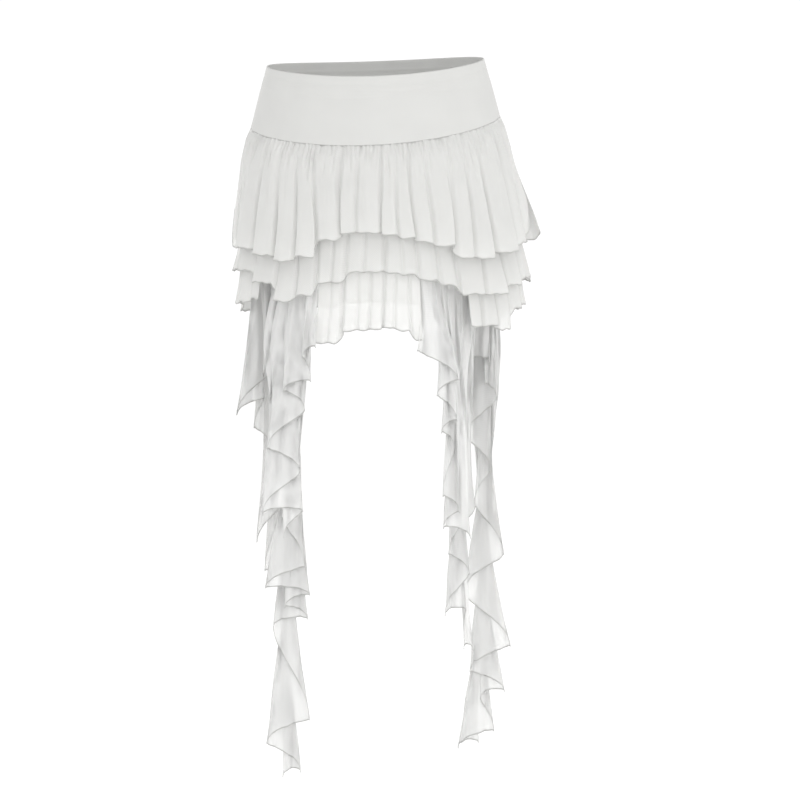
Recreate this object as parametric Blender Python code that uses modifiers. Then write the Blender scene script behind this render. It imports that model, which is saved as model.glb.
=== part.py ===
"""Ruffled mini skirt: hip yoke, three gathered tiers and waterfall cascades at both hips.

Metres, +Z up. The front faces -Y and the origin is the centre of the waist opening.
Tables are in millimetres and degrees. An angle is counted round the body from the centre
front (0) to the +X hip (90), the centre back (180) and the -X hip (270 or -90).
"""
import math

import bmesh
import bpy
import numpy as np

MM = 0.001

# Cloth walls, seam gaps (end to end, and one inside another) and the band of each ruffle that
# is sewn up inside the yoke.
YOKE_WALL = 1.4
CLOTH_WALL = 1.0
SEAM_GAP = 0.3
NEST_GAP = 0.7
SEWN_BAND = 8.0

# Hip yoke: half width and half depth at the waist edge and at the seam line.
WAIST_HALF_WIDTH = 142.0
WAIST_HALF_DEPTH = 99.0
SEAM_HALF_WIDTH = 163.0
SEAM_HALF_DEPTH = 112.0
YOKE_BULGE = 0.5
YOKE_COLUMNS = 32
YOKE_ROWS = 3

# The ruffles hang this far to the +X side at SWAY_DROP under the seam.
SWAY = 5.0
SWAY_DROP = 170.0

# Edge heights: middle, lift to the +X hip, dip at the front (linear and squared share).
WAIST_EDGE = dict(middle=4.0, tilt=5.0, dip=12.0, bow=8.0)
SEAM_EDGE = dict(middle=-74.0, tilt=8.0, dip=22.5, bow=8.5)

# Rings below the seam. drop: distance under the seam; flare: how far the inner line of the
# ruffle stands out from its seam line; depth: how deep its folds are; pinch: how much of the
# short gathers is left.
TIER_1_RINGS = (
    # drop, flare, depth, pinch
    (0.3, 0.0, 0.3, 0.3),
    (14.0, 3.8, 3.4, 1.0),
    (40.0, 8.0, 6.0, 0.5),
    (75.0, 11.5, 8.0, 0.0),
    (120.0, 16.6, 9.6, 0.0),
    (170.0, 24.0, 10.5, 0.0),
)
TIER_2_RINGS = (
    (-8.0, -1.8, 0.0, 0.0),
    (0.0, 0.0, 0.0, 0.0),
    (15.0, 1.8, 1.5, 0.0),
    (60.0, 5.0, 3.0, 0.0),
    (120.0, 9.2, 4.5, 0.0),
    (165.0, 14.0, 6.0, 0.0),
    (210.0, 22.0, 9.5, 0.0),
)
TIER_3_RINGS = (
    (-8.0, -1.8, 0.0, 0.0),
    (0.0, 0.0, 0.0, 0.0),
    (15.0, 0.3, 1.2, 0.0),
    (60.0, 2.0, 2.5, 0.0),
    (120.0, 5.0, 3.5, 0.0),
    (165.0, 9.0, 4.5, 0.0),
    (205.0, 13.0, 5.5, 0.0),
    (250.0, 16.0, 10.0, 0.0),
)
CASCADE_RINGS = (
    (-8.0, -1.8, 0.0, 0.0),
    (0.0, 0.0, 0.0, 0.0),
    (60.0, 1.2, 0.0, 0.0),
    (120.0, 3.5, 0.0, 0.0),
    (200.0, 9.5, 0.0, 0.0),
    (250.0, 12.0, 0.0, 0.0),
    (700.0, 12.0, 0.0, 0.0),
)

# Folds of the ruffles. angle: where the fold meets the hem; slant: how far it starts to the
# side at the seam; width: groove width; depth: share of the ring's depth; tuck: how far the
# lobe before the fold (+) or after it (-) lies over it; hem: height of the lobe after it.
TIER_1_FRONT_FOLDS = (
    # angle, slant, width, depth, tuck, hem
    (-78.0, 3.0, 6.0, 0.8, 0.0, -238.0),
    (-59.0, 3.0, 6.5, 1.0, -1.0, -246.0),
    (-46.0, 1.0, 4.4, 0.9, 0.0, -253.0),
    (-35.0, -1.0, 3.6, 0.7, 0.0, -247.0),
    (-25.5, -2.5, 5.0, 1.0, 1.4, -226.0),
    (-15.2, 0.0, 4.4, 1.0, -0.9, -217.0),
    (-8.4, 0.6, 3.2, 0.6, 0.0, -216.0),
    (1.6, 0.0, 4.0, 0.9, -1.0, -219.0),
    (8.2, 0.0, 3.2, 0.7, 0.0, -223.0),
    (14.6, -0.6, 3.8, 0.9, 1.0, -228.0),
    (21.8, 0.0, 3.2, 0.6, 0.0, -234.0),
    (31.0, 1.5, 5.4, 1.0, 1.2, -249.0),
    (40.0, 1.0, 3.6, 0.6, 0.0, -250.0),
    (51.0, -1.0, 4.6, 0.9, 0.0, -243.0),
    (68.0, -3.0, 6.0, 1.0, 1.4, -232.0),
    (80.0, -2.0, 5.0, 0.7, 0.0, -226.0),
)
TIER_1_BACK_FOLDS = (
    (101.0, 2.0, 6.0, 1.0, -1.2, -232.0),
    (115.0, 1.0, 5.0, 0.8, 0.0, -245.0),
    (127.0, 1.0, 4.6, 1.0, 1.0, -238.0),
    (138.0, 0.0, 3.8, 0.6, 0.0, -230.0),
    (147.0, 0.5, 4.4, 1.0, -1.0, -222.0),
    (158.0, 0.0, 3.6, 0.7, 0.0, -219.0),
    (166.0, 0.0, 4.2, 1.0, 1.0, -214.0),
    (177.0, 0.0, 3.6, 0.6, 0.0, -216.0),
    (187.0, 0.0, 4.4, 1.0, -1.1, -221.0),
    (199.0, -0.5, 3.6, 0.7, 0.0, -228.0),
    (210.0, 0.0, 4.6, 1.0, 1.1, -239.0),
    (222.0, -1.0, 3.8, 0.6, 0.0, -247.0),
    (234.0, -1.0, 5.2, 1.0, -1.0, -240.0),
    (249.0, -2.0, 5.6, 0.8, 0.0, -229.0),
    (261.0, -2.0, 5.0, 0.8, 0.0, -232.0),
)
TIER_2_FRONT_FOLDS = (
    (-80.0, 2.0, 6.0, 0.8, 0.0, -268.0),
    (-64.0, 2.0, 5.0, 0.9, 0.0, -282.0),
    (-47.0, 1.0, 5.0, 1.0, -1.0, -305.0),
    (-36.0, 0.0, 3.2, 0.7, 0.0, -297.0),
    (-27.0, -1.0, 4.6, 1.0, 1.2, -281.0),
    (-20.0, 0.0, 3.0, 0.6, 0.0, -280.0),
    (-14.0, 0.0, 4.2, 1.0, -1.0, -267.0),
    (-6.0, 0.0, 3.4, 0.8, 0.0, -266.0),
    (2.2, 0.0, 4.0, 1.0, -0.8, -268.0),
    (9.0, 0.0, 3.2, 0.7, 0.0, -270.0),
    (15.7, 0.0, 4.0, 1.0, 1.0, -277.0),
    (25.0, 0.0, 4.0, 0.9, 0.0, -284.0),
    (33.0, 1.0, 4.6, 1.0, -1.0, -296.0),
    (47.0, 1.0, 4.4, 0.9, 0.0, -297.0),
    (61.0, 0.0, 4.6, 1.0, 1.0, -286.0),
    (76.0, -1.0, 6.0, 0.8, 0.0, -278.0),
)
TIER_2_BACK_FOLDS = (
    (104.0, 1.0, 5.4, 1.0, 0.0, -284.0),
    (119.0, 1.0, 4.8, 0.8, 1.0, -294.0),
    (132.0, 0.0, 4.2, 1.0, 0.0, -283.0),
    (145.0, 0.0, 4.0, 0.7, -0.9, -276.0),
    (157.0, 0.0, 4.2, 1.0, 0.0, -268.0),
    (170.0, 0.0, 3.8, 0.8, 0.0, -266.0),
    (183.0, 0.0, 4.2, 1.0, 0.9, -270.0),
    (196.0, 0.0, 3.8, 0.7, 0.0, -275.0),
    (209.0, 0.0, 4.4, 1.0, -1.0, -286.0),
    (223.0, -1.0, 4.4, 0.8, 0.0, -293.0),
    (238.0, -1.0, 5.0, 1.0, 0.0, -281.0),
    (255.0, -1.0, 5.6, 0.8, 0.0, -270.0),
)
TIER_3_FRONT_FOLDS = (
    (-21.5, 0.0, 3.2, 0.6, 0.0, -358.0),
    (-16.0, 0.0, 4.4, 1.0, -0.6, -342.0),
    (-9.5, 0.0, 3.2, 0.7, 0.0, -341.0),
    (-4.4, 0.0, 3.4, 1.0, 0.0, -339.0),
    (1.6, 0.0, 3.4, 1.0, 0.8, -338.0),
    (6.6, 0.0, 3.2, 0.8, 0.0, -341.0),
    (13.2, 0.0, 3.4, 1.0, 0.0, -354.0),
)
TIER_3_BACK_FOLDS = (
    (47.0, 0.0, 4.4, 0.9, 0.0, -338.0),
    (57.0, 0.0, 5.0, 1.0, 0.9, -344.0),
    (69.0, 0.0, 5.0, 0.8, 0.0, -318.0),
    (82.0, 0.0, 5.6, 1.0, 0.0, -314.0),
    (97.0, 0.0, 5.4, 0.8, 0.0, -322.0),
    (113.0, 0.0, 5.0, 1.0, -0.5, -333.0),
    (128.0, 0.0, 4.6, 0.8, 0.0, -339.0),
    (142.0, 0.0, 4.4, 1.0, 0.0, -330.0),
    (156.0, 0.0, 4.2, 0.8, 0.9, -321.0),
    (170.0, 0.0, 4.2, 1.0, 0.0, -318.0),
    (184.0, 0.0, 4.2, 0.8, 0.0, -319.0),
    (198.0, 0.0, 4.4, 1.0, -0.9, -325.0),
    (213.0, 0.0, 4.6, 0.8, 0.0, -334.0),
    (228.0, 0.0, 5.0, 1.0, 0.0, -337.0),
    (244.0, 0.0, 5.2, 0.8, 0.0, -325.0),
    (260.0, 0.0, 5.6, 1.0, 0.0, -312.0),
    (277.0, 0.0, 5.6, 0.8, 0.0, -309.0),
    (290.0, 0.0, 4.6, 0.8, 0.0, -304.0),
)

# Hanging folds of the cascades, from the front of each column to its back.
# side: x of the turned edge; hem: height of its tip.
LEFT_FRONT_TURNS = (
    # side, hem
    (-77.0, -363.0),
    (-94.0, -375.0),
    (-82.0, -407.0),
    (-118.0, -420.0),
    (-90.0, -444.0),
    (-138.0, -494.0),
    (-96.0, -524.0),
    (-146.0, -581.0),
    (-93.0, -577.0),
    (-118.0, -612.0),
)
LEFT_LONG_TURNS = (
    (-121.0, -590.0),
    (-92.0, -655.0),
    (-144.0, -685.0),
    (-85.0, -694.0),
    (-118.0, -710.0),
    (-88.0, -727.0),
    (-134.0, -737.0),
    (-89.0, -862.0),
    (-146.0, -894.0),
    (-101.0, -933.0),
    (-125.0, -941.0),
)
LEFT_SIDE_TURNS = (
    (-119.0, -388.0),
    (-148.0, -409.0),
    (-130.0, -391.0),
    (-184.0, -461.0),
    (-150.0, -441.0),
    (-163.0, -480.0),
    (-142.0, -507.0),
    (-158.0, -635.0),
    (-131.0, -589.0),
    (-148.0, -676.0),
    (-126.0, -694.0),
)
RIGHT_FRONT_TURNS = (
    (52.0, -367.0),
    (113.0, -405.0),
    (80.0, -425.0),
    (106.0, -458.0),
    (86.0, -473.0),
    (102.0, -494.0),
    (88.0, -556.0),
    (110.0, -578.0),
    (89.0, -599.0),
    (124.0, -612.0),
)
RIGHT_INNER_TURNS = (
    (132.0, -577.0),
    (96.0, -640.0),
    (123.0, -667.0),
    (90.0, -723.0),
    (118.0, -716.0),
    (115.0, -768.0),
    (128.0, -771.0),
)
RIGHT_SIDE_TURNS = (
    (127.0, -368.0),
    (152.0, -389.0),
    (145.0, -418.0),
    (160.0, -438.0),
    (121.0, -490.0),
    (154.0, -535.0),
    (133.0, -577.0),
    (172.0, -649.0),
    (119.0, -700.0),
    (179.0, -774.0),
    (125.0, -810.0),
    (172.0, -838.0),
    (140.0, -848.0),
    (158.0, -894.0),
    (110.0, -919.0),
    (138.0, -912.0),
)

# Each cascade: its turns, the angles that its top edge spans at the seam, the depths (y) that
# its column fills below the tiers, whether it hugs the tiers' inner side, the layers from it
# out to the yoke at the seam, the distance under the seam at which its folds have come together
# in their column, the share of their width that they have at the tiers' hems and half way down,
# the length over which a tip spreads to its full width, how far down its rows lie level, and its
# steps above and below that.
CASCADES = (
    # name, turns, start, end, front, back, hugs, layers,
    # gather, upper, lower, reach, level, above, below
    ("left_cascade_front", LEFT_FRONT_TURNS, -27.0, -44.0, -142.0, -92.0, True, 2,
     280.0, 0.7, 0.6, 170.0, 225.0, 4, 5),
    ("left_cascade_long", LEFT_LONG_TURNS, -60.0, -77.0, -60.0, -22.0, False, 3,
     340.0, 0.9, 0.5, 200.0, 440.0, 6, 4),
    ("left_cascade_side", LEFT_SIDE_TURNS, -79.5, -122.0, -14.0, 64.0, False, 3,
     280.0, 0.4, 0.4, 160.0, 260.0, 4, 4),
    ("right_cascade_front", RIGHT_FRONT_TURNS, 17.5, 43.0, -142.0, -92.0, True, 3,
     380.0, 0.7, 0.6, 120.0, 225.0, 4, 5),
    ("right_cascade_inner", RIGHT_INNER_TURNS, 57.0, 69.5, -50.0, -26.0, False, 3,
     340.0, 0.9, 0.5, 170.0, 440.0, 5, 3),
    ("right_cascade_side", RIGHT_SIDE_TURNS, 72.0, 122.0, -28.0, 64.0, False, 3,
     300.0, 0.7, 0.3, 150.0, 250.0, 4, 6),
)

# Spacing of the cascade folds that lie one behind another under the tiers.
STACK_RINGS = (
    # drop, spacing
    (0.0, 0.0),
    (40.0, 0.4),
    (70.0, 1.6),
    (100.0, 2.9),
    (140.0, 3.4),
)

# A turned edge is cut blunt by TURN_INSET of a fold and opened by TURN_ROUNDING. The folds start
# to come together at GATHER_START under the seam. Their share of width goes from upper to lower
# between SPREAD_HIGH and SPREAD_LOW. They fill the column's depth between COLUMN_START and
# COLUMN_FULL. Between two tips a hem rises by HEM_RISE.
TURN_INSET = 0.16
TURN_ROUNDING = 0.9
GATHER_START = 60.0
SPREAD_HIGH = -360.0
SPREAD_LOW = -560.0
COLUMN_START = -200.0
COLUMN_FULL = -560.0
HEM_RISE = 6.0

# Short gathers are this deep at most; lobes under PINCH_WIDTH have none. A lobe lies over the
# next one by TUCK_REACH where the folds are deeper than TUCK_FROM; its groove goes back under it
# by TUCK_BACK of that.
PINCH_DEPTH = 2.6
PINCH_WIDTH = 3.0
TUCK_FROM = 5.0
TUCK_FULL = 10.0
TUCK_REACH = 1.1
TUCK_BACK = 0.33

# Rows of the tiers at fixed distances under the seam.
SEWN_ROWS = (-SEWN_BAND, 0.0)
TIER_1_ROWS = (0.3, 14.0, 40.0)
TIER_2_ROWS = (*SEWN_ROWS, 40.0, 90.0)
TIER_3_ROWS = (*SEWN_ROWS, 60.0, 120.0)

SURFACES = {
    # family of pieces: colour, roughness
    "yoke": ((0.80, 0.80, 0.79, 1.0), 0.75),
    "tier": ((0.76, 0.76, 0.75, 1.0), 0.80),
    "cascade": ((0.74, 0.74, 0.73, 1.0), 0.80),
}


def edge_height(edge, angle):
    """Height of the waist edge or of the seam at an angle round the body."""
    front = math.cos(math.radians(angle))
    side = math.sin(math.radians(angle))
    return edge["middle"] + edge["tilt"] * side - edge["dip"] * front - edge["bow"] * front ** 2


def on_oval(half_width, half_depth, angle):
    """Point of an oval round the body."""
    turn = math.radians(angle)
    return half_width * math.sin(turn), -half_depth * math.cos(turn)


def smooth_step(value):
    """Even rise from 0 to 1 with level ends."""
    value = min(max(value, 0.0), 1.0)
    return value * value * (3.0 - 2.0 * value)


def blend(first, second, share):
    """Value at a share of the way from the first to the second."""
    return first + (second - first) * share


def ring_value(rings, drop, field):
    """One named column of a ring table at a distance under the seam."""
    return float(np.interp(drop, [row[0] for row in rings], [row[field] for row in rings]))


def sway_at(drop):
    """How far the skirt hangs to the side at a distance under the seam."""
    return SWAY * smooth_step(drop / SWAY_DROP)


def seam_inset_under(layers):
    """How far inside the seam line a piece lies that is so many layers from the yoke."""
    return (YOKE_WALL - CLOTH_WALL) / 2 + layers * (CLOTH_WALL + NEST_GAP)


def row_drops(upper, steps, hem_drop):
    """Distances under the seam of a column's rows: the fixed upper ones, then even steps."""
    last = upper[-1]
    return list(upper) + [blend(last, hem_drop, (k + 1) / steps) for k in range(steps)]


def fold_columns(folds, start, end):
    """Columns round a ruffle: angle, slant, inset (0 crest, 1 groove), pinch, hem, tuck."""
    hem_before = folds[0][5]
    first = folds[0][0] - folds[0][2] / 2
    columns = [(at, 0.0, 0.0, 0.0, hem_before, 0.0) for at in (start, (start + first) / 2)]
    for index, (angle, slant, width, depth, tuck, hem) in enumerate(folds):
        half = width / 2
        columns.append((angle - half, slant, 0.0, 0.0, hem_before, max(tuck, 0.0)))
        columns.append((angle, slant, depth, 0.0, (hem_before + hem) / 2, -tuck * TUCK_BACK))
        columns.append((angle + half, slant, 0.0, 0.0, hem, min(tuck, 0.0)))
        if index < len(folds) - 1:
            following = folds[index + 1]
            lobe_end = following[0] - following[2] / 2
            middle = (angle + half + lobe_end) / 2
            pinch = 1.0 if lobe_end - angle - half > PINCH_WIDTH else 0.0
            columns.append((middle, (slant + following[1]) / 2, 0.0, pinch, hem, 0.0))
        hem_before = hem
    last = folds[-1][0] + folds[-1][2] / 2
    columns += [(at, 0.0, 0.0, 0.0, hem_before, 0.0) for at in ((last + end) / 2, end)]
    return columns


def ruffle_point(column, row, rings, seam_inset, upper, steps):
    """Point of a ruffle in one of its columns and rows."""
    angle, slant, inset, pinch, hem, tuck = column
    hem_drop = edge_height(SEAM_EDGE, angle) - hem
    drop = row_drops(upper, steps, hem_drop)[row]
    depth = ring_value(rings, drop, 2)
    tucked = smooth_step((depth - TUCK_FROM) / (TUCK_FULL - TUCK_FROM))
    angle_here = angle + slant * (1.0 - max(drop, 0.0) / hem_drop) + TUCK_REACH * tuck * tucked
    pinch_depth = min(depth, PINCH_DEPTH) * pinch * ring_value(rings, drop, 3)
    out = ring_value(rings, drop, 1) + depth * (1.0 - inset) - pinch_depth - seam_inset
    x, y = on_oval(SEAM_HALF_WIDTH + out, SEAM_HALF_DEPTH + out, angle_here)
    x += sway_at(drop)
    return x * MM, y * MM, (edge_height(SEAM_EDGE, angle_here) - drop) * MM


def cascade_columns(turns):
    """Columns across a cascade: place along it, x of the cloth there and height of its hem."""
    count = len(turns) - 1
    places = [0.0]
    for index in range(count):
        places += [index + TURN_INSET, index + 0.5, index + 1 - TURN_INSET]
    places.append(float(count))
    columns = []
    for place in places:
        index = min(int(place), count - 1)
        share = place - index
        across = min(max((share - TURN_INSET) / (1.0 - 2 * TURN_INSET), 0.0), 1.0)
        rounded = (1.0 - math.cos(math.pi * across)) / 2
        side = blend(turns[index][0], turns[index + 1][0], rounded)
        hem = blend(turns[index][1], turns[index + 1][1], across)
        columns.append((place, side, hem + HEM_RISE * math.sin(math.pi * across)))
    return columns


def middle_line(turns, height):
    """x at a height of the straight line nearest to the middles of a cascade's folds."""
    middles = [(a[0] + b[0]) / 2 for a, b in zip(turns, turns[1:])]
    heights = [(a[1] + b[1]) / 2 for a, b in zip(turns, turns[1:])]
    slope, start = np.polyfit(heights, middles, 1)
    return float(start + slope * height)


def cascade_point(column, row, cascade, seam_inset):
    """Point of a hanging cascade in one of its columns and rows."""
    place, side, hem = column
    _, turns, start, end, front, back, hugs, _ = cascade[:8]
    gather, upper, lower, reach, level, above, below = cascade[8:]
    count = len(turns) - 1
    seam = edge_height(SEAM_EDGE, blend(start, end, place / count))
    level_rows = row_drops(SEWN_ROWS, above, level)
    drop = row_drops(level_rows, below, seam - hem)[row]
    opening = TURN_ROUNDING * smooth_step(drop / GATHER_START) / (2 * math.pi)
    stacked = place + opening * math.sin(2 * math.pi * place)
    angle = blend(start, end, stacked / count)
    out = ring_value(CASCADE_RINGS, drop, 1) - seam_inset
    half_width = SEAM_HALF_WIDTH + out
    half_depth = SEAM_HALF_DEPTH + out
    arc_x, arc_y = on_oval(half_width, half_depth, angle)
    height = seam - drop
    gathered = smooth_step((drop - GATHER_START) / (gather - GATHER_START))
    low = smooth_step((SPREAD_HIGH - height) / (SPREAD_HIGH - SPREAD_LOW))
    flare = max(0.0, 1.0 - (height - hem) / reach)
    spread = blend(blend(upper, lower, low), 1.0, flare) * gathered
    middle = middle_line(turns, hem)
    x = blend(arc_x + sway_at(drop), middle, gathered) + (side - middle) * spread
    if hugs:
        arc_y = -half_depth * math.sqrt(max(0.0, 1.0 - (x / half_width) ** 2))
        arc_y += ring_value(STACK_RINGS, drop, 1) * stacked
    deep = smooth_step((COLUMN_START - height) / (COLUMN_START - COLUMN_FULL))
    y = blend(arc_y, blend(front, back, stacked / count), deep)
    return x * MM, y * MM, height * MM


def yoke_point(angle, row):
    """Point of the hip yoke in one of its columns and rows."""
    down = row / YOKE_ROWS
    bulge = YOKE_BULGE * math.sin(math.pi * down)
    half_width = blend(WAIST_HALF_WIDTH, SEAM_HALF_WIDTH, down) + bulge
    half_depth = blend(WAIST_HALF_DEPTH, SEAM_HALF_DEPTH, down) + bulge
    x, y = on_oval(half_width, half_depth, angle)
    height = blend(edge_height(WAIST_EDGE, angle), edge_height(SEAM_EDGE, angle), down)
    return x * MM, y * MM, height * MM


def surface(name):
    """Plain material of a piece."""
    family = next(key for key in SURFACES if key in name)
    colour, roughness = SURFACES[family]
    material = bpy.data.materials.new(name + "_cloth")
    material.use_nodes = True
    shader = material.node_tree.nodes["Principled BSDF"]
    shader.inputs["Base Color"].default_value = colour
    shader.inputs["Roughness"].default_value = roughness
    shader.inputs["Metallic"].default_value = 0.0
    return material


def cloth(name, collection, columns, rows, place, wall, turned=False):
    """Cloth wall: a net of flat triangles laid on its form and thickened to both sides.

    A turned wall keeps its thickness on both faces of each sharply turned edge.
    """
    mesh = bpy.data.meshes.new(name)
    net = bmesh.new()
    across = len(columns) - 1
    bmesh.ops.create_grid(net, x_segments=across, y_segments=rows, size=1.0)
    for vertex in net.verts:
        column = columns[round((vertex.co.x + 1) / 2 * across)]
        vertex.co = place(column, round((1 - vertex.co.y) / 2 * rows))
    bmesh.ops.triangulate(net, faces=net.faces)
    for face in net.faces:
        face.smooth = True
    net.to_mesh(mesh)
    net.free()
    mesh.materials.append(surface(name))
    piece = bpy.data.objects.new(name, mesh)
    collection.objects.link(piece)
    thick = piece.modifiers.new("wall", "SOLIDIFY")
    thick.thickness = wall * MM
    thick.offset = 0.0
    if turned:
        thick.solidify_mode = "NON_MANIFOLD"
        thick.nonmanifold_thickness_mode = "CONSTRAINTS"
    return piece


def build_yoke(collection):
    """Front and back of the yoke, apart at the side seams by the seam gap."""
    clear = math.degrees(SEAM_GAP / 2 / WAIST_HALF_DEPTH)
    for name, start in (("yoke_front", -90.0), ("yoke_back", 90.0)):
        angles = np.linspace(start + clear, start + 180.0 - clear, YOKE_COLUMNS + 1)
        cloth(name, collection, list(angles), YOKE_ROWS, yoke_point, YOKE_WALL)


def build_ruffles(collection):
    """The three gathered tiers: each top edge lies inside the one before."""
    clear = math.degrees(SEAM_GAP / 2 / SEAM_HALF_DEPTH)
    second = seam_inset_under(1)
    third = seam_inset_under(2)
    tiers = (
        # name, folds, start, end, rings, inset at the seam, fixed rows, steps to the hem
        ("tier1_front", TIER_1_FRONT_FOLDS, -90.0, 90.0, TIER_1_RINGS, 0.0, TIER_1_ROWS, 3),
        ("tier1_back", TIER_1_BACK_FOLDS, 90.0, 270.0, TIER_1_RINGS, 0.0, TIER_1_ROWS, 2),
        ("tier2_front", TIER_2_FRONT_FOLDS, -90.0, 90.0, TIER_2_RINGS, second, TIER_2_ROWS, 2),
        ("tier2_back", TIER_2_BACK_FOLDS, 90.0, 270.0, TIER_2_RINGS, second, TIER_2_ROWS, 2),
        ("tier3_front", TIER_3_FRONT_FOLDS, -24.5, 16.5, TIER_3_RINGS, third, TIER_3_ROWS, 2),
        ("tier3_back", TIER_3_BACK_FOLDS, 40.0, 298.0, TIER_3_RINGS, third, TIER_3_ROWS, 2),
    )
    for name, folds, start, end, rings, inset, upper, steps in tiers:
        columns = fold_columns(folds, start + clear, end - clear)

        def place(column, row, rings=rings, inset=inset, upper=upper, steps=steps):
            return ruffle_point(column, row, rings, inset, upper, steps)

        cloth(name, collection, columns, len(upper) + steps - 1, place, CLOTH_WALL)


def build_cascades(collection):
    """The waterfall flounces that hang from the seam at both hips."""
    for cascade in CASCADES:
        inset = seam_inset_under(cascade[7])

        def place(column, row, cascade=cascade, inset=inset):
            return cascade_point(column, row, cascade, inset)

        columns = cascade_columns(cascade[1])
        above, below = cascade[-2:]
        cloth(cascade[0], collection, columns, 1 + above + below, place, CLOTH_WALL, turned=True)


def main():
    """Clear the scene and build the skirt."""
    for item in list(bpy.data.objects):
        bpy.data.objects.remove(item)
    collection = bpy.data.collections.new("ruffled_mini_skirt")
    bpy.context.scene.collection.children.link(collection)
    build_yoke(collection)
    build_ruffles(collection)
    build_cascades(collection)


main()
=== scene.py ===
"""Looks of the ruffled mini skirt: hip yoke, three gathered tiers and waterfall cascades.

Sizes in the tables are millimetres and degrees, and Blender's are metres. +Z is up, the front
faces -Y and the origin is the centre of the waist opening. An angle is counted round the body
from the centre front (0) to the +X hip (90) and the centre back (180). Every piece is a thin
shell laid on the form of its solid, with the gathers, creases and hems that cloth has.
"""
import math

import bmesh
import bpy
import numpy as np
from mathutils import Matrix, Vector


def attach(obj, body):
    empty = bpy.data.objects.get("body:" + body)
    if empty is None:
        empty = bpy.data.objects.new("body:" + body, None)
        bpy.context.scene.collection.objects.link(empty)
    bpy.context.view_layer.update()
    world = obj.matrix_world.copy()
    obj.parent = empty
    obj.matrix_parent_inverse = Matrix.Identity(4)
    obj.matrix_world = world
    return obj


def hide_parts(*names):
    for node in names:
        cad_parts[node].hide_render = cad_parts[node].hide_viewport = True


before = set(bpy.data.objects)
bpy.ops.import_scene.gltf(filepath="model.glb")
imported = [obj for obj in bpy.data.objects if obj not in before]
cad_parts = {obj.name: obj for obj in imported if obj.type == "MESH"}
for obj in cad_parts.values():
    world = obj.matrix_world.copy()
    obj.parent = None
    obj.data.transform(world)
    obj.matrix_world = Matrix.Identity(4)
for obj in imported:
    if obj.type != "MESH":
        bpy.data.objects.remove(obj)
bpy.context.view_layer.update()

bl_info = {
    "name": "Ruffled mini skirt",
    "version": (1, 0, 0),
    "blender": (4, 5, 0),
    "location": "3D View > Sidebar > Skirt",
    "description": "Builds a mini skirt with a yoke, gathered tiers and side cascades",
    "category": "Mesh",
}

MM = 0.001

# The form that the shells share with the solids.
CLOTH_WALL = 1.0
YOKE_WALL = 1.4
NEST_GAP = 0.7
SEWN_BAND = 8.0
WAIST_HALF_WIDTH = 142.0
WAIST_HALF_DEPTH = 99.0
SEAM_HALF_WIDTH = 163.0
SEAM_HALF_DEPTH = 112.0
YOKE_BULGE = 0.5
SWAY = 5.0
SWAY_DROP = 170.0
WAIST_EDGE = dict(middle=4.0, tilt=5.0, dip=12.0, bow=8.0)
SEAM_EDGE = dict(middle=-74.0, tilt=8.0, dip=22.5, bow=8.5)


def table(fields, rows):
    """A table with named columns, each an array."""
    return dict(zip(fields.split(), np.array(rows, dtype=float).T))


def named_rows(fields, rows):
    """A list of rows, each with its values by name."""
    return [dict(zip(fields.split(), row)) for row in rows]


RING = "drop flare depth"
TIER_1_RINGS = table(RING, (
    (-3.0, -2.0, 0.2),
    (0.3, 0.2, 0.6),
    (14.0, 3.8, 3.4),
    (40.0, 8.0, 6.0),
    (75.0, 11.5, 8.0),
    (120.0, 16.6, 9.6),
    (170.0, 24.0, 10.5),
))
TIER_2_RINGS = table(RING, (
    (-8.0, -1.8, 0.0),
    (0.0, 0.0, 0.0),
    (15.0, 1.8, 1.5),
    (60.0, 5.0, 3.0),
    (120.0, 9.2, 4.5),
    (165.0, 14.0, 6.0),
    (210.0, 22.0, 9.5),
))
TIER_3_RINGS = table(RING, (
    (-8.0, -1.8, 0.0),
    (0.0, 0.0, 0.0),
    (15.0, 0.3, 1.2),
    (60.0, 2.0, 2.5),
    (120.0, 5.0, 3.5),
    (165.0, 9.0, 4.5),
    (205.0, 13.0, 5.5),
    (250.0, 16.0, 10.0),
))
CASCADE_RINGS = table(RING, (
    (-8.0, -1.8, 0.0),
    (0.0, 0.0, 0.0),
    (60.0, 1.2, 0.0),
    (120.0, 3.5, 0.0),
    (200.0, 9.5, 0.0),
    (250.0, 12.0, 0.0),
    (700.0, 12.0, 0.0),
))

# Main folds. angle: where the fold meets the hem; slant: how far it starts to the side at the
# seam; width: groove width; depth: share of the ring's depth; tuck: how far the lobe before it
# (+) or after it (-) lies over it; hem: height of the lobe after it.
FOLD = "angle slant width depth tuck hem"
TIER_1_FRONT = table(FOLD, (
    (-78.0, 3.0, 6.0, 0.8, 0.0, -238.0),
    (-59.0, 3.0, 6.5, 1.0, -1.0, -246.0),
    (-46.0, 1.0, 4.4, 0.9, 0.0, -253.0),
    (-35.0, -1.0, 3.6, 0.7, 0.0, -247.0),
    (-25.5, -2.5, 5.0, 1.0, 1.4, -226.0),
    (-15.2, 0.0, 4.4, 1.0, -0.9, -217.0),
    (-8.4, 0.6, 3.2, 0.6, 0.0, -216.0),
    (1.6, 0.0, 4.0, 0.9, -1.0, -219.0),
    (8.2, 0.0, 3.2, 0.7, 0.0, -223.0),
    (14.6, -0.6, 3.8, 0.9, 1.0, -228.0),
    (21.8, 0.0, 3.2, 0.6, 0.0, -234.0),
    (31.0, 1.5, 5.4, 1.0, 1.2, -249.0),
    (40.0, 1.0, 3.6, 0.6, 0.0, -250.0),
    (51.0, -1.0, 4.6, 0.9, 0.0, -243.0),
    (68.0, -3.0, 6.0, 1.0, 1.4, -232.0),
    (80.0, -2.0, 5.0, 0.7, 0.0, -226.0),
))
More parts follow.
